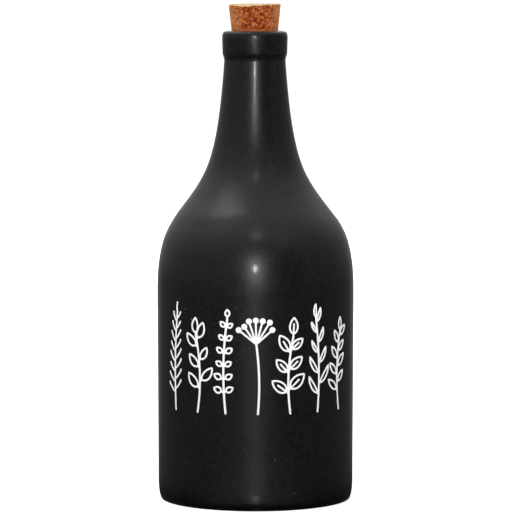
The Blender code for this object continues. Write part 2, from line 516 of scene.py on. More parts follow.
def foot_outline():
    """The bare foot from the axis in its recess, over the ring and up inside the glaze to the axis."""
    side = foot_radius_at(GLAZE_EDGE_HEIGHT + GLAZE_THICKNESS) - GLAZE_THICKNESS
    ring_outer = (side - RING_OUTER_EDGE, 0.0)
    recess_edge = (RECESS_RADIUS - RECESS_EDGE, RECESS_DEPTH)
    recess_corner = (RECESS_RADIUS, RECESS_DEPTH)
    recess_wall = (RECESS_RADIUS + RECESS_WALL_OUT, RECESS_DEPTH - RECESS_WALL_DROP)
    ring_edge = (RING_INNER_RADIUS - RING_INNER_EDGE, RING_INNER_RISE)
    ring_corner = (RING_INNER_RADIUS - RING_INNER_CORNER, 0.0)
    ring_inner = (RING_INNER_RADIUS, 0.0)
    points = line_between((0.0, RECESS_DEPTH), recess_edge, 22)
    points += curve_between(recess_edge, recess_corner, recess_corner, recess_wall, 5)[1:]
    points += line_between(recess_wall, ring_edge, 4)[1:]
    points += quarter_round(ring_edge, ring_inner, ring_corner, 3)[1:]
    points += line_between(ring_inner, ring_outer, 8)[1:]
    points += quarter_round(ring_outer, (side, RING_OUTER_EDGE), (side, 0.0), 4)[1:]
    return points + [(side, GLAZE_FLOOR_HEIGHT), (0.0, GLAZE_FLOOR_HEIGHT + CLAY_RISE)]


def cork_outline():
    """From the axis at the bottom, up the taper, over the worn edge and in across the top, about the seat."""
    bottom = CORK_TOP_HEIGHT - CORK_LENGTH - CORK_SEAT_HEIGHT
    mouth = LIP_CREST_HEIGHT - CORK_RINGS_BELOW_LIP - CORK_SEAT_HEIGHT
    taper = (CORK_TOP_RADIUS - CORK_BOTTOM_RADIUS) / CORK_LENGTH
    mouth_point = (CORK_BOTTOM_RADIUS + taper * (mouth - bottom), mouth)
    rim_low = (CORK_TOP_RADIUS, CORK_TOP - CORK_EDGE)
    rim_high = (CORK_TOP_RADIUS - CORK_EDGE, CORK_TOP)
    points = [(0.0, bottom)] + line_between((CORK_BOTTOM_RADIUS, bottom), mouth_point, 10)
    points += line_between(mouth_point, rim_low, 64)[1:]
    points += quarter_round(rim_low, rim_high, (CORK_TOP_RADIUS, CORK_TOP), 6)[1:]
    return points + line_between(rim_high, (0.0, CORK_TOP), 44)[1:]


def turning_group():
    """Turns an outline of edges about Z. Its points run up the outer side, and each becomes a ring."""
    tree, given, result = geometry_tree("turned_wall", {"Outline": "Geometry", "Around": 128})
    size = add_node(tree, "GeometryNodeAttributeDomainSize", {0: given["Outline"]}, component="MESH")
    rings = size.outputs["Point Count"]
    columns = plus(given["Around"], 1.0)
    grid = add_node(tree, "GeometryNodeMeshGrid",
                    {"Size X": 1.0, "Size Y": 1.0, "Vertices X": columns, "Vertices Y": rings})
    place = axes_of(point_places(tree))
    turn = times(plus(place["X"], 0.5), 2.0 * math.pi)
    share = plus(place["Y"], 0.5)
    ring = calc("ROUND", times(share, minus(rings, 1.0)))
    point = add_node(tree, "GeometryNodeSampleIndex",
                     {"Geometry": given["Outline"], "Value": point_places(tree), "Index": ring},
                     data_type="FLOAT_VECTOR", domain="POINT")
    outline = axes_of(point.outputs["Value"])
    x = times(outline["X"], calc("COSINE", turn))
    y = times(outline["X"], calc("SINE", turn))
    wall = moved_to(grid.outputs["Mesh"], vector_of(X=x, Y=y, Z=outline["Z"]))
    closed = feed("GeometryNodeMergeByDistance", {"Geometry": wall, "Distance": 1e-6})
    link(smoothed(closed), result["Geometry"])
    return tree


def turned(given, turning):
    """The wall turned from the outline that a tree is given."""
    inputs = {"Outline": given["Outline"], "Around": given["Around"]}
    return feed("GeometryNodeGroup", inputs, node_tree=turning)


def thrown_tree(turning):
    """A turned wall with broad hollows, ripples that run round it and an upper part set off its axis."""
    tree, given, result = geometry_tree(
        "thrown_wall",
        {"Outline": "Geometry", "Around": 128, "Hollow Size": 0.03, "Hollow Depth": 0.0,
         "Ripple Pitch": 0.004, "Ripple Depth": 0.0, "Shift": "Vector", "Shift Low": 0.0,
         "Shift High": 1.0, "Clay": "Material"})
    wall = turned(given, turning)
    place = point_places(tree)

    def waves(at, size, depth, detail):
        noise = feed("ShaderNodeTexNoise", {"Vector": at, "Scale": ratio(1.0, size), "Detail": detail})
        return times(minus(noise, 0.5), depth)

    hollow = waves(place, given["Hollow Size"], given["Hollow Depth"], 2.0)
    flattened = vector_calc("MULTIPLY", place, (0.06, 0.06, 1.0))
    ripple = waves(flattened, given["Ripple Pitch"], given["Ripple Depth"], 1.0)
    outwards = tree.nodes.new("GeometryNodeInputNormal").outputs["Normal"]
    offset = vector_calc("SCALE", outwards, plus(hollow, ripple))
    raised = ease(axes_of(place)["Z"], given["Shift Low"], given["Shift High"])
    shift = vector_calc("SCALE", given["Shift"], raised)
    pushed = axes_of(vector_calc("ADD", vector_calc("ADD", place, offset), shift))
    grounded = vector_of(X=pushed["X"], Y=pushed["Y"], Z=calc("MAXIMUM", pushed["Z"], 0.0))
    put_out(moved_to(wall, grounded), given["Clay"], result)
    return tree


def cork_grains(place, size):
    """Crooked cells of two sizes: two chances of each grain, and how near its seam is. Fits either tree."""
    bend = feed("ShaderNodeTexNoise", {"Vector": place, "Scale": 800.0, "Detail": 1.0}).node.outputs["Color"]
    centred = vector_calc("SUBTRACT", bend, (0.5, 0.5, 0.5))
    bent = vector_calc("ADD", place, vector_calc("SCALE", centred, GRAIN_BEND))
    patches = feed("ShaderNodeTexNoise", {"Vector": place, "Scale": 600.0, "Detail": 1.0})
    pick = ease(patches, 0.49, 0.51)
    kinds = []
    for share in (1.0, SMALL_GRAIN_SHARE):
        scale = add_node(place.id_data, "ShaderNodeMath", {0: 1.0 / share, 1: size}, operation="DIVIDE")
        cells = {"Vector": bent, "Scale": scale.outputs[0]}
        edge = feed("ShaderNodeTexVoronoi", cells, feature="DISTANCE_TO_EDGE")
        chances = axes_of(feed("ShaderNodeTexVoronoi", cells).node.outputs["Color"])
        seam = ease(edge, 0.02, 0.17, 1.0, 0.0)
        kinds.append((chances["X"], chances["Y"], seam))
    return [times_plus(minus(small, large), pick, large) for large, small in zip(*kinds)]


def pressed_cork_tree(turning):
    """A turned cork of pressed grains: seams between the grains, fallen-out crumbs and a nibbled rim."""
    tree, given, result = geometry_tree(
        "pressed_cork",
        {"Outline": "Geometry", "Around": 128, "Grain Size": 0.002, "Seam Depth": 0.0,
         "Crumb Depth": 0.0, "Rim Depth": 0.0, "Bare From": 0.0, "Rim Height": 0.0, "Cork": "Material"})
    wall = turned(given, turning)
    place = point_places(tree)
    height = axes_of(place)["Z"]

    # The place of each point before it is pushed in, from which the cork's colours are read
    kept = feed("GeometryNodeStoreNamedAttribute",
                {"Geometry": wall, "Name": "grain_place", "Value": place},
                data_type="FLOAT_VECTOR", domain="POINT")

    second, seam = cork_grains(place, given["Grain Size"])[1:]
    fallen = ease(second, CRUMB_SHARE, CRUMB_SHARE + CRUMB_EASE, 1.0, 0.0)
    crumb = times(fallen, minus(1.0, seam))
    nibble = feed("ShaderNodeTexNoise", {"Vector": place, "Scale": 380.0, "Detail": 3.0})
    rim = ease(height, minus(given["Rim Height"], NIBBLE_REACH), given["Rim Height"])
    nibbled = times(rim, ease(nibble, 0.42, 0.68))

    depth = times(seam, given["Seam Depth"])
    depth = times_plus(crumb, given["Crumb Depth"], depth)
    depth = times_plus(nibbled, given["Rim Depth"], depth)
    full_from = plus(given["Bare From"], RELIEF_REACH)
    depth = times(depth, ease(height, given["Bare From"], full_from))
    inwards = vector_calc("SCALE", tree.nodes.new("GeometryNodeInputNormal").outputs["Normal"], -1.0)
    offset = vector_calc("SCALE", inwards, depth)
    crumbled = feed("GeometryNodeSetPosition", {"Geometry": kept, "Offset": offset})
    put_out(crumbled, given["Cork"], result)
    return tree


def new_material(name, colour, roughness):
    """A material with its Principled shader and object coordinates."""
    material = bpy.data.materials.new(name)
    material.use_nodes = True
    tree = material.node_tree
    shader = tree.nodes["Principled BSDF"]
    shader.inputs["Base Color"].default_value = (*colour, 1.0)
    shader.inputs["Roughness"].default_value = roughness
    place = tree.nodes.new("ShaderNodeTexCoord").outputs["Object"]
    return material, shader, place


def mottle_group():
    """Cloudy variation about zero: a soft noise of a given patch size, from -Depth to Depth."""
    tree, given, result = new_tree(
        "mottle", "ShaderNodeTree",
        {"Place": "Vector", "Patch Size": 0.005, "Depth": 1.0}, {"Value": "Float"})
    scale = ratio(1.0, given["Patch Size"])
    cloud = feed("ShaderNodeTexNoise", {"Vector": given["Place"], "Scale": scale, "Detail": 4.0})
    centred = times_plus(cloud, 4.0, -2.0)
    limited = feed("ShaderNodeClamp", {"Value": centred, "Min": -1.0, "Max": 1.0})
    link(times(limited, given["Depth"]), result["Value"])
    return tree


def speckle_group():
    """Scattered dots: 1 inside a dot, 0 elsewhere. Chance is the share of the cells that hold one."""
    tree, given, result = new_tree(
        "speckle", "ShaderNodeTree",
        {"Place": "Vector", "Spacing": 0.005, "Dot Radius": 0.0002, "Chance": 0.5}, {"Dot": "Float"})
    scale = ratio(1.0, given["Spacing"])
    cell = add_node(tree, "ShaderNodeTexVoronoi", {"Vector": given["Place"], "Scale": scale})
    chances = axes_of(cell.outputs["Color"])
    radius = times(given["Dot Radius"], times(scale, chances["Y"]))
    inner = times(radius, 0.6)
    dot = ease(cell.outputs["Distance"], inner, radius, 1.0, 0.0)
    held = calc("LESS_THAN", chances["X"], given["Chance"])
    link(times(dot, held), result["Dot"])
    return tree


def clouds(mottle, place, size, depth):
    """The mottle group's value."""
    inputs = {"Place": place, "Patch Size": size, "Depth": depth}
    return feed("ShaderNodeGroup", inputs, node_tree=mottle)


def dots(speckle, place, spacing, radius, chance):
    """The speckle group's dots."""
    inputs = {"Place": place, "Spacing": spacing, "Dot Radius": radius, "Chance": chance}
    return feed("ShaderNodeGroup", inputs, node_tree=speckle)


def blend(factor, first, second):
    """A colour between two, each of which is a plain colour or an output."""
    ends = [end if isinstance(end, bpy.types.NodeSocket) else (*end, 1.0) for end in (first, second)]
    inputs = {"Factor": factor, "A": ends[0], "B": ends[1]}
    return feed("ShaderNodeMix", inputs, data_type="RGBA").node.outputs["Result"]


def roughen(shader, height, depth):
    """Bump of a given depth in metres on the shader."""
    bump = feed("ShaderNodeBump", {"Height": height, "Distance": depth, "Strength": 1.0})
    link(bump, shader.inputs["Normal"])


def black_glaze(mottle, speckle):
    """Satin black glaze: a soft sheen under a thin glossier skin, cloudy, with pinholes and dust in it.

    On the lip's crest it is thin, glossier and painted paler as a highlight. At the heel and under the collar
    shade is painted in as near black.
    """
    material, shader, place = new_material("black_glaze", (0.0035, 0.0035, 0.0036), GLAZE_ROUGHNESS)
    shader.inputs["IOR"].default_value = 1.5
    shader.inputs["Coat Weight"].default_value = SKIN_WEIGHT
    shader.inputs["Coat Roughness"].default_value = SKIN_ROUGHNESS
    cloud = partial(clouds, mottle, place)
    height = axes_of(place)["Z"]
    thin = ease(height, *LIP_THIN_AND_HIGHLIGHT)
    # Painted shade: the heel and the groove under the collar are darkened to near black
    heel = ease(height, *HEEL_PAINTED_SHADE, 1.0, 0.0)
    groove = ease(height, *GROOVE_SHADE_BEGINS)
    groove = times(groove, ease(height, *GROOVE_SHADE_ENDS, 0.7, 0.0))
    painted_shade = calc("MAXIMUM", heel, groove)

    grain = plus(cloud(0.0007, 0.9), cloud(0.0024, 0.4))
    tone = blend(plus(grain, 0.5), GLAZE_DARK, GLAZE_PALE)
    # The lip is paler where the glaze thins, and partly as a painted highlight
    tone = blend(times(thin, 0.8), tone, GLAZE_ON_LIP_WITH_HIGHLIGHT)
    tone = blend(dots(speckle, place, 0.0032, 0.00045, 0.12), tone, GLAZE_DUST)
    # Painted shade at the heel and under the collar
    tone = blend(painted_shade, tone, GLAZE_PAINTED_SHADE)
    link(tone, shader.inputs["Base Color"])

    matter = plus(cloud(0.011, 0.028), cloud(0.0016, 0.030))
    matter = times_plus(painted_shade, -0.15, matter)
    matter = times_plus(thin, -0.21, matter)
    link(plus(matter, GLAZE_ROUGHNESS), shader.inputs["Roughness"])
    skin = plus(cloud(0.0022, 0.06), SKIN_WEIGHT)
    link(times_plus(thin, 0.7, skin), shader.inputs["Coat Weight"])

    # The skin is more uneven on the collar than on the body
    peel = plus(cloud(0.0032, 0.60), cloud(0.0012, 0.30))
    peel = times(peel, ease(height, *COLLAR_BEGINS, 1.0, 2.8))
    pinholes = times(dots(speckle, place, 0.0034, 0.00050, 0.15), 6.0)
    roughen(shader, minus(peel, pinholes), GLAZE_RELIEF)
    return material


def bare_stoneware(mottle, speckle):
    """Unglazed stoneware of the foot: buff clay with iron specks."""
    material, shader, place = new_material("bare_stoneware", (0.36, 0.27, 0.19), 0.88)
    cloud = clouds(mottle, place, 0.003, 0.5)
    iron = dots(speckle, place, 0.0014, 0.00035, 0.4)
    tone = blend(plus(cloud, 0.5), CLAY_DARK, CLAY_PALE)
    tone = blend(times(iron, 0.8), tone, CLAY_IRON)
    link(tone, shader.inputs["Base Color"])
    roughen(shader, cloud, 0.00012)
    return material


def grain_tone(chance):
    """Tone of a grain by its chance."""
    tone = feed("ShaderNodeValToRGB", {0: chance})
    ramp = tone.node.color_ramp
    ramp.interpolation = "LINEAR"
    while len(ramp.elements) < len(GRAIN_TONES):
        ramp.elements.new(0.5)
    for stop, (at, colour) in zip(ramp.elements, GRAIN_TONES):
        stop.position = at
        stop.color = (*colour, 1.0)
    return tone


def pressed_cork(mottle):
    """Pressed cork: rust, orange, gold and pink grains, dark seams, painted sheen on its sides, painted light
    above the lip, and a pale rim and top, worn and painted as a highlight.
    """
    material, shader = new_material("pressed_cork", (0.24, 0.06, 0.012), 0.9)[:2]
    shader.inputs["Specular IOR Level"].default_value = 0.04
    shader.inputs["Sheen Weight"].default_value = 0.02
    shader.inputs["Sheen Roughness"].default_value = 0.45
    shader.inputs["Sheen Tint"].default_value = (1.0, 0.66, 0.42, 1.0)
    kept = add_node(material.node_tree, "ShaderNodeAttribute", attribute_name="grain_place")
    place = kept.outputs["Vector"]
    axes = axes_of(place)
    chance, second, seam = cork_grains(place, GRAIN_SIZE)
    cloud = partial(clouds, mottle, place)

    # Painted sheen: paler at its left and right sides
    across = ratio(axes["X"], CORK_TOP_RADIUS)
    painted_sheen_left = ease(across, -1.0, -0.42, 1.0, 0.0)
    painted_sheen = calc("MAXIMUM", painted_sheen_left, ease(across, 0.42, 1.0, 0.0, 1.0))
    grain = times_plus(chance, 0.76, plus(cloud(0.0012, 0.32), 0.02))
    tone = grain_tone(times_plus(painted_sheen, 0.22, grain))
    tone = blend(times(painted_sheen, 0.48), tone, CORK_PAINTED_SHEEN)

    # By their second chance, some grains are pinkish or golden, and the fallen ones leave dark bark
    tone = blend(ease(second, 0.60, 0.90, 0.0, 0.38), tone, CORK_PINK)
    off_gold = calc("ABSOLUTE", minus(second, 0.26))
    tone = blend(ease(off_gold, 0.06, 0.16, 0.36, 0.0), tone, CORK_GOLD)
    groove = times(seam, ease(cloud(0.0016, 1.0), -0.30, 0.15, 0.30, 1.0))
    groove = times(groove, times_plus(painted_sheen, -0.45, 1.0))
    tone = blend(groove, tone, CORK_SEAM)
    bark = ease(second, CRUMB_SHARE - CRUMB_EASE, CRUMB_SHARE, 0.6, 0.0)
    tone = blend(bark, tone, CORK_BARK)
    # Painted light just above the lip, lifting the shade that the lip casts on the cork
    lit_above_lip = ease(axes["Z"], CORK_BARE_FROM, CORK_BARE_FROM + LIGHT_ABOVE_LIP_REACH, 0.35, 0.0)
    tone = blend(lit_above_lip, tone, CORK_LIGHT_ABOVE_LIP)

    # The worn edge, also painted paler as a highlight, is broadest left of the middle, and golden rather than
    # pale on the right
    off_middle = calc("ABSOLUTE", plus(across, 0.4))
    depth = ease(off_middle, 0.0, 0.6, WORN_LIT_DEPTH, WORN_LIT_LEAST_DEPTH)
    depth = plus(depth, cloud(0.003, WORN_LIT_UNEVENNESS))
    worn_lit_from = minus(CORK_TOP, depth)
    worn_lit = ease(axes["Z"], minus(worn_lit_from, WORN_LIT_EASE), worn_lit_from)
    pale = blend(ease(across, 0.0, 1.0), CORK_WORN_LIT, CORK_WORN_LIT_RIGHT)
    tone = blend(times(worn_lit, 0.82), tone, pale)
    link(tone, shader.inputs["Base Color"])
    roughen(shader, minus(cloud(0.0007, 0.5), seam), CORK_RELIEF)
    return material


def white_enamel(mottle):
    """White enamel, a little uneven where the brush has passed."""
    material, shader, place = new_material("white_enamel", ENAMEL_TONE, ENAMEL_ROUGHNESS)
    cloud = clouds(mottle, place, 0.0012, 0.5)
    link(times_plus(cloud, 0.12, ENAMEL_ROUGHNESS), shader.inputs["Roughness"])
    roughen(shader, cloud, ENAMEL_RELIEF)
    return material


def make_bottle(turning, mottle, speckle):
    """The glazed bottle and its bare foot."""
    tree = thrown_tree(turning)
    glazed = finish_mesh("glazed_bottle", line_mesh("glazed_outline", glazed_outline()), tree,
                         {"Around": 256, "Hollow Size": 0.022, "Hollow Depth": 0.00006,
                          "Ripple Pitch": 0.0045, "Ripple Depth": 0.000012, "Shift": NECK_SHIFT,
                          "Shift Low": SHIFT_LOW, "Shift High": SHIFT_HIGH,
                          "Clay": black_glaze(mottle, speckle)})
    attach(glazed, "root")
    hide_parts("bottle")
    foot = finish_mesh("bare_foot", line_mesh("foot_outline", foot_outline()), tree,
                       {"Around": 192, "Hollow Size": 0.004, "Hollow Depth": 0.00012,
                        "Ripple Pitch": 0.001, "Ripple Depth": 0.00004,
                        "Clay": bare_stoneware(mottle, speckle)})
    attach(foot, "root")


def make_cork(turning, mottle):
    """The cork, leaning about its seat, which moves along with the neck."""
    cork = finish_mesh("pressed_cork", line_mesh("cork_outline", cork_outline()), pressed_cork_tree(turning),
                       {"Around": 340, "Grain Size": GRAIN_SIZE, "Seam Depth": SEAM_DEPTH,
                        "Crumb Depth": CRUMB_DEPTH, "Rim Depth": NIBBLE_DEPTH, "Bare From": CORK_BARE_FROM,
                        "Rim Height": CORK_TOP, "Cork": pressed_cork(mottle)})
    tip_axis = Vector((-math.sin(CORK_LEAN_TOWARDS), math.cos(CORK_LEAN_TOWARDS), 0.0))
    lean = Matrix.Rotation(CORK_LEAN, 4, tip_axis)
    seat = Vector(NECK_SHIFT) + Vector((0.0, 0.0, CORK_SEAT_HEIGHT))
    cork.data.transform(Matrix.Translation(seat) @ lean)
    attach(cork, "root")
    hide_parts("cork")


def brush_line_group():
    """Lays flat curves on the wall as raised lines with round ends. X runs round the body, Y is height."""
    tree, given, result = geometry_tree(
        "brush_line", {"Curves": "Geometry", "Line Width": 0.0017, "Relief": 0.0002})
    real = feed("GeometryNodeRealizeInstances", {"Geometry": given["Curves"]})
    path = feed("GeometryNodeResampleCurve", {"Curve": real, "Length": LINE_STEP}, mode="LENGTH")
    half = times(given["Line Width"], 0.5)
    bristle = feed("GeometryNodeCurvePrimitiveCircle", {"Resolution": 10, "Radius": half})
    line = feed("GeometryNodeCurveToMesh", {"Curve": path, "Profile Curve": bristle, "Fill Caps": True})
    ends = tree.nodes.new("GeometryNodeCurveEndpointSelection").outputs[0]
    ball = add_node(tree, "GeometryNodeMeshUVSphere", {"Segments": 12, "Rings": 8, "Radius": half})
    tips = feed("GeometryNodeInstanceOnPoints",
                {"Points": path, "Selection": ends, "Instance": ball.outputs["Mesh"]})
    whole = feed("GeometryNodeRealizeInstances", {"Geometry": joined(line, tips)})

    flat = axes_of(point_places(tree))
    angle = ratio(flat["X"], BODY_RADIUS)
    above_heel = minus(flat["Y"], HEEL_HEIGHT)
    rise = ratio(above_heel, SHOULDER_HEIGHT - HEEL_HEIGHT)
    wall = times_plus(rise, BODY_RADIUS - HEEL_RADIUS, HEEL_RADIUS)
    flattening = ratio(given["Relief"], half)
    radius = times_plus(flat["Z"], flattening, wall)
    x = times(radius, calc("SINE", angle))
    y = times(radius, calc("COSINE", plus(angle, math.pi)))
    laid = moved_to(whole, vector_of(X=x, Y=y, Z=flat["Y"]))
    link(smoothed(laid), result["Geometry"])
    return tree


def leaf_group():
    """One drawn leaf of unit length along X: a midrib, and either one bent edge or two."""
    tree, given, result = geometry_tree(
        "drawn_leaf",
        {"Width": 0.4, "Bend": 0.0, "Stalk": 0.1, "Midrib": 0.1})
    stalk_end = vector_of(X=given["Stalk"])
    edges = []
    for side in (1.0, -1.0):
        bulge = times_plus(given["Width"], side / 1.5, given["Bend"])
        near = vector_of(X=plus(given["Stalk"], LEAF_NEAR_HANDLE), Y=bulge)
        far = vector_of(X=LEAF_FAR_HANDLE, Y=bulge)
        edge = feed("GeometryNodeCurvePrimitiveBezierSegment",
                    {"Resolution": 20, "Start": stalk_end, "Start Handle": near,
                     "End Handle": far, "End": (1.0, 0.0, 0.0)})
        edges.append(edge)
    wide = calc("GREATER_THAN", given["Width"], LEAF_LEAST_WIDTH)
    second = feed("GeometryNodeSwitch", {"Switch": wide, "True": edges[1]}, input_type="GEOMETRY")
    midrib = feed("GeometryNodeCurvePrimitiveLine",
                  {"Start": (0.0, 0.0, 0.0), "End": vector_of(X=given["Midrib"])})
    leaf = joined(edges[0], second, midrib)
    link(leaf, result["Geometry"])
    return tree


def stem_curve(given):
    """A stem that bows sideways between its foot and its tip."""
    middle = vector_calc("SCALE", vector_calc("ADD", given["Foot"], given["Tip"]), 0.5)
    bow = vector_of(X=times(given["Bow"], 2.0))
    inputs = {"Resolution": 40, "Start": given["Foot"], "Middle": vector_calc("ADD", middle, bow),
              "End": given["Tip"]}
    return feed("GeometryNodeCurveQuadraticBezier", inputs)


def heading(tangent, turn):
    """Rotation about Z that points X along a flat direction, turned further by an angle."""
    flat = axes_of(tangent)
    angle = plus(calc("ARCTAN2", flat["Y"], flat["X"]), turn)
    return feed("FunctionNodeEulerToRotation", {0: vector_of(Z=angle)})


def random_between(low, high, seed):
    """A random number for each point, from low to high."""
    inputs = {"Min": low, "Max": high, "Seed": seed}
    return feed("FunctionNodeRandomValue", inputs, data_type="FLOAT").node.outputs["Value"]


def brush_in_enamel(given, result, brush, strokes):
    """Ends a herb's tree: brushes each (curves, width) of the strokes in enamel."""
    lines = []
    for curves, width in strokes:
        inputs = {"Curves": curves, "Line Width": width, "Relief": given["Relief"]}
        lines.append(feed("GeometryNodeGroup", inputs, node_tree=brush))
    put_out(joined(*lines), given["Enamel"], result)


HERB_INPUTS = {"Foot": "Vector", "Tip": "Vector", "Bow": 0.0, "Line Width": 0.0017,
               "Leaf Line Width": 0.0014, "Relief": 0.0002, "Enamel": "Material"}


def sprig_tree(leaf, brush):
    """A sprig: leaves on both sides of a bowed stem, smaller towards its tip, and one at the tip."""
    tree, given, result = geometry_tree(
        "herb_sprig",
        HERB_INPUTS | {"Leaf Pairs": 5, "First Leaf": 0.2, "Last Leaf": 0.9, "Stagger": 0.0,
                       "Leaf Length": 0.01, "Leaf Width": 0.4, "Leaf Bend": 0.0, "Leaf Stalk": 0.1,
                       "Leaf Midrib": 0.1, "Leaf Angle": 0.8, "Top Share": 0.6, "Seed": 1})
    stem = stem_curve(given)
    shape = {part: given["Leaf " + part] for part in ("Width", "Bend", "Stalk", "Midrib")}
    drawn = feed("GeometryNodeGroup", shape, node_tree=leaf)
    number = tree.nodes.new("GeometryNodeInputIndex").outputs[0]
    gaps = calc("MAXIMUM", minus(given["Leaf Pairs"], 1.0), 1.0)
    spacing = ratio(minus(given["Last Leaf"], given["First Leaf"]), gaps)
    top_length = times(given["Leaf Length"], given["Top Share"])
    leaves = []
    for side, lag in ((1.0, 0.0), (-1.0, 1.0)):
        places = feed("GeometryNodePoints", {"Count": given["Leaf Pairs"]})
        lagging = plus(number, times(given["Stagger"], lag))
        share = times_plus(lagging, spacing, given["First Leaf"])
        along = add_node(tree, "GeometryNodeSampleCurve", {"Curves": stem, "Factor": share},
                         use_all_curves=True).outputs
        chance = random_between(0.86, 1.12, plus(given["Seed"], side))
        length = ease(share, given["First Leaf"], 1.0, given["Leaf Length"], top_length)
        length = times(length, chance)
        size = vector_of(X=length, Y=times(length, side), Z=length)
        opening = times(given["Leaf Angle"], side)
        opening = times(opening, ease(share, 0.0, 1.0, 1.12, 0.82))
        grown = feed("GeometryNodeInstanceOnPoints",
                     {"Points": moved_to(places, along["Position"]), "Instance": drawn,
                      "Rotation": heading(along["Tangent"], opening), "Scale": size})
        leaves.append(grown)
    crown = feed("GeometryNodePoints", {"Count": 1, "Position": given["Tip"]})
    rise = vector_calc("SUBTRACT", given["Tip"], given["Foot"])
    top = feed("GeometryNodeInstanceOnPoints",
               {"Points": crown, "Instance": drawn, "Rotation": heading(rise, 0.0),
                "Scale": vector_of(X=top_length, Y=top_length, Z=top_length)})
    leaves.append(top)
    strokes = [(stem, given["Line Width"]), (joined(*leaves), given["Leaf Line Width"])]
    brush_in_enamel(given, result, brush, strokes)
    return tree


def umbel_tree(brush):
    """A flower head: rays that fan out of the stem's tip, each with a round bud."""
    tree, given, result = geometry_tree(
        "herb_umbel",
        HERB_INPUTS | {"Rays": 7, "Spread": 1.75, "Ray Length": 0.0118, "Bud Radius": 0.0010, "Seed": 1})
    stem = stem_curve(given)
    ray = add_node(tree, "GeometryNodeCurveQuadraticBezier",
                   {"Resolution": 12, "Start": (0.0, 0.0, 0.0), "Middle": (0.5, 0.0, 0.0),
                    "End": (1.0, 0.0, 0.0)})
    places = feed("GeometryNodePoints", {"Count": given["Rays"], "Position": given["Tip"]})
    number = tree.nodes.new("GeometryNodeInputIndex").outputs[0]
    gaps = minus(given["Rays"], 1.0)
    share = minus(ratio(number, gaps), 0.5)
    chance = random_between(0.88, 1.08, given["Seed"])
    rise = vector_calc("SUBTRACT", given["Tip"], given["Foot"])
    turn = heading(rise, times(share, given["Spread"]))
    fan = feed("GeometryNodeInstanceOnPoints",
               {"Points": places, "Instance": ray.outputs[0], "Rotation": turn,
                "Scale": times(given["Ray Length"], chance)})
    rays = feed("GeometryNodeRealizeInstances", {"Geometry": fan})
    ends = add_node(tree, "GeometryNodeCurveEndpointSelection", {"Start Size": 0, "End Size": 1}).outputs[0]
    bud = feed("GeometryNodeCurvePrimitiveCircle", {"Resolution": 12, "Radius": given["Bud Radius"]})
    buds = feed("GeometryNodeInstanceOnPoints", {"Points": rays, "Selection": ends, "Instance": bud})
    strokes = [(stem, given["Line Width"]), (rays, given["Leaf Line Width"]),
               (buds, given["Line Width"])]
    brush_in_enamel(given, result, brush, strokes)
    return tree


# Herbs of the print: kind, place round the wall, height and bow of the stem, shift of its tip, and leaves
HERBS = {
    "rosemary": ("sprig", -0.0465, 0.0985, -0.0012, 0.0016,
                 {"Leaf Pairs": 8, "First Leaf": 0.18, "Leaf Length": 0.0072, "Leaf Width": 0.0,
                  "Leaf Bend": 0.10, "Leaf Stalk": 0.0, "Leaf Angle": 0.74, "Top Share": 0.66,
                  "Stagger": 0.3}),
    "bay": ("sprig", -0.0310, 0.0875, 0.0020, -0.0010,
            {"Leaf Pairs": 3, "First Leaf": 0.30, "Last Leaf": 0.84, "Leaf Length": 0.0102,
             "Leaf Width": 0.40, "Leaf Bend": 0.06, "Leaf Stalk": 0.16, "Leaf Midrib": 0.16,
             "Leaf Angle": 0.74, "Top Share": 0.86, "Stagger": 0.35}),
    "thyme": ("sprig", -0.0152, 0.0965, -0.0016, 0.0010,
              {"Leaf Pairs": 6, "First Leaf": 0.22, "Leaf Length": 0.0054, "Leaf Width": 0.50,
               "Leaf Stalk": 0.26, "Leaf Midrib": 0.26, "Leaf Angle": 1.05, "Top Share": 0.84}),
    "dill": ("umbel", 0.0012, 0.0840, 0.0010, -0.0008, {}),
    "sage": ("sprig", 0.0178, 0.0875, -0.0018, 0.0016,
             {"Leaf Pairs": 3, "First Leaf": 0.26, "Last Leaf": 0.78, "Leaf Length": 0.0104,
              "Leaf Width": 0.46, "Leaf Stalk": 0.14, "Leaf Midrib": 0.66, "Leaf Angle": 0.82,
              "Top Share": 0.90, "Stagger": 0.15}),
    "tarragon": ("sprig", 0.0336, 0.0960, 0.0014, -0.0012,
                 {"Leaf Pairs": 4, "First Leaf": 0.18, "Last Leaf": 0.84, "Leaf Length": 0.0108,
                  "Leaf Width": 0.20, "Leaf Bend": 0.08, "Leaf Stalk": 0.10, "Leaf Angle": 0.56,
                  "Top Share": 0.66, "Stagger": 0.5}),
    "olive": ("sprig", 0.0496, 0.0880, -0.0020, 0.0010,
              {"Leaf Pairs": 4, "First Leaf": 0.24, "Last Leaf": 0.84, "Leaf Length": 0.0092,
               "Leaf Width": 0.34, "Leaf Stalk": 0.16, "Leaf Midrib": 0.16, "Leaf Angle": 0.74,
               "Top Share": 0.80, "Stagger": 0.5}),
}


def make_print(mottle):
    """The herbs side by side round the front of the body."""
    brush = brush_line_group()
    trees = {"sprig": sprig_tree(leaf_group(), brush), "umbel": umbel_tree(brush)}
    enamel = white_enamel(mottle)
    for number, (name, (kind, across, top, bow, tip_shift, leaves)) in enumerate(HERBS.items()):
        values = {"Foot": (across, PRINT_LOW + LINE_WIDTH, 0.0), "Tip": (across + tip_shift, top, 0.0),
                  "Bow": bow, "Line Width": LINE_WIDTH, "Leaf Line Width": LEAF_LINE_WIDTH,
                  "Relief": LINE_RELIEF, "Seed": 10 * number, "Enamel": enamel, **leaves}
        herb = finish_mesh("print_" + name, bpy.data.meshes.new(name), trees[kind], values)
        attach(herb, "root")


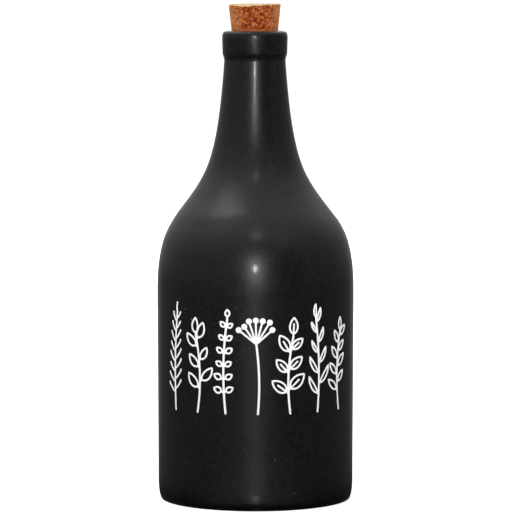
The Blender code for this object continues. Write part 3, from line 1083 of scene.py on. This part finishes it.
def make_camera():
    """The camera, above the bottle's top and looking a little down."""
    data = bpy.data.cameras.new("camera")
    data.sensor_width = SENSOR_WIDTH
    data.lens = CAMERA_LENS
    camera = placed("camera", data)
    camera.location = (CAMERA_SIDE, -CAMERA_DISTANCE, CAMERA_HEIGHT)
    camera.rotation_euler = (0.5 * math.pi - CAMERA_PITCH, 0.0, 0.0)
    bpy.context.scene.camera = camera


def make_lights():
    """Area lights that face the bottle and that the camera doesn't see."""
    for name, (place, diameter, power, mirrored) in AREA_LIGHTS.items():
        data = bpy.data.lights.new(name, "AREA")
        data.shape = "DISK"
        data.size = diameter
        data.energy = power
        light = placed(name, data)
        light.location = place
        light.rotation_euler = (Vector(LIT_MIDDLE) - Vector(place)).to_track_quat("-Z", "Y").to_euler()
        light.visible_camera = False
        light.visible_glossy = mirrored
    

def make_room():
    """Soft room with its lamps, and plain white where the camera looks past the bottle."""
    world = bpy.data.worlds.new("room")
    world.use_nodes = True
    tree = world.node_tree
    tree.nodes.clear()
    direction = tree.nodes.new("ShaderNodeTexCoord").outputs["Generated"]
    axes = axes_of(direction)
    upwards = calc("MAXIMUM", axes["Z"], 0.0)
    slope = times_plus(upwards, ROOM_BEND, ROOM_SLOPE)
    level = times_plus(upwards, slope, ROOM_LEVEL)
    for sign, axis, at_eye, with_height in ROOM_SIDES.values():
        sideways = calc("MAXIMUM", times(axes[axis], sign), 0.0)
        gain = times_plus(upwards, with_height, at_eye)
        level = times_plus(sideways, gain, level)
    for name, (*angles, strength) in SOFT_LAMPS.items():
        azimuth, elevation, reach = (math.radians(angle) for angle in angles)
        aim = Vector((math.sin(azimuth) * math.cos(elevation), -math.cos(azimuth) * math.cos(elevation),
                      math.sin(elevation)))
        facing = add_node(tree, "ShaderNodeVectorMath", {0: direction, 1: aim}, operation="DOT_PRODUCT")
        glow = ease(facing.outputs["Value"], math.cos(reach), 1.0, 0.0, strength)
        level = plus(level, glow)
        level.node.label = name
    level = calc("MAXIMUM", level, 0.0)
    plain = (1.0, 1.0, 1.0, 1.0)
    room = feed("ShaderNodeBackground", {"Color": plain, "Strength": level})
    white = add_node(tree, "ShaderNodeBackground", {"Color": plain, "Strength": BACKDROP_STRENGTH})
    seen = tree.nodes.new("ShaderNodeLightPath").outputs["Is Camera Ray"]
    mixed = feed("ShaderNodeMixShader", {0: seen, 1: room, 2: white.outputs[0]})
    add_node(tree, "ShaderNodeOutputWorld", {"Surface": mixed})
    bpy.context.scene.world = world
    bpy.context.scene.view_settings.view_transform = "Standard"


def mirrored_floor(place, away):
    """Brightness of the floor as the glaze mirrors it, by the distance from the axis and the direction."""
    backwards = ratio(axes_of(place)["Y"], calc("MAXIMUM", away, 0.001))
    forwards = times(backwards, -1.0)
    fading = ease(away, FLOOR_START, FLOOR_WIDE_END, FLOOR_BEFORE, 0.0)
    before = times(ease(away, *BEFORE_GROWS), fading)
    before = times(before, ease(forwards, 0.6, 1.0))
    behind = ease(backwards, 0.75, 1.0, FLOOR_FAR, FLOOR_FAR + FLOOR_BACK)
    level = times_plus(ease(away, FLOOR_START, FLOOR_FAR_FULL), behind, before)
    # Painted shadow: the mirrored floor is darkest near the foot
    level = plus(level, ease(away, FLOOR_START, FLOOR_NEAR_END, FLOOR_NEAR_SHADE, 0.0))
    # Painted reflection of the key light, as a glossy table would show it, in front of the foot
    key_reflection = ease(away, *KEY_REFLECTION_GROWS, 0.0, FLOOR_KEY_REFLECTION)
    key_reflection = times(key_reflection, ease(away, *KEY_REFLECTION_FADES, 1.0, 0.0))
    key_reflection = times(key_reflection, ease(backwards, -0.997, -0.9999))
    return plus(level, key_reflection)


def make_floor():
    """A pale floor that runs out to the horizon, with painted shadow near the foot, and darker and faintly
    glossy in the glaze's mirror.
    """
    material, shader, place = new_material("pale_floor", (0.9, 0.9, 0.9), 0.9)
    tree = material.node_tree
    rays = tree.nodes.new("ShaderNodeLightPath").outputs
    away = add_node(tree, "ShaderNodeVectorMath", {0: place}, operation="LENGTH").outputs["Value"]
    # Painted shadow: for all but camera rays the floor is darker near the foot
    shaded = ease(away, FLOOR_START, FLOOR_WIDE_END, 0.05, 0.9)
    pale = calc("MAXIMUM", shaded, rays["Is Camera Ray"])
    link(calc("MINIMUM", pale, 0.9), shader.inputs["Base Color"])
    lift = times(rays["Is Camera Ray"], FLOOR_LIFT)
    lit = feed("ShaderNodeEmission", {"Strength": lift})
    bright = feed("ShaderNodeAddShader", {0: shader.outputs[0], 1: lit})
    dim = feed("ShaderNodeEmission", {"Strength": mirrored_floor(place, away)})
    sheen = (FLOOR_GLOSS, FLOOR_GLOSS, FLOOR_GLOSS, 1.0)
    gloss = add_node(tree, "ShaderNodeBsdfAnisotropic", {"Color": sheen, "Roughness": FLOOR_GLOSS_ROUGHNESS})
    polished = feed("ShaderNodeAddShader", {0: dim, 1: gloss.outputs[0]})
    mixed = feed("ShaderNodeMixShader", {0: rays["Is Glossy Ray"], 1: bright, 2: polished})
    link(mixed, tree.nodes["Material Output"].inputs["Surface"])
    mesh = bpy.data.meshes.new("floor")
    corners = [(FLOOR_REACH * x, FLOOR_REACH * y, 0.0) for x, y in ((-1, -1), (1, -1), (1, 1), (-1, 1))]
    mesh.from_pydata(corners, [], [(0, 1, 2, 3)])
    mesh.materials.append(material)
    floor = placed("floor", mesh)


make_camera()
make_lights()
make_room()
make_floor()
turning = turning_group()
mottle = mottle_group()
speckle = speckle_group()
make_bottle(turning, mottle, speckle)
make_cork(turning, mottle)
make_print(mottle)
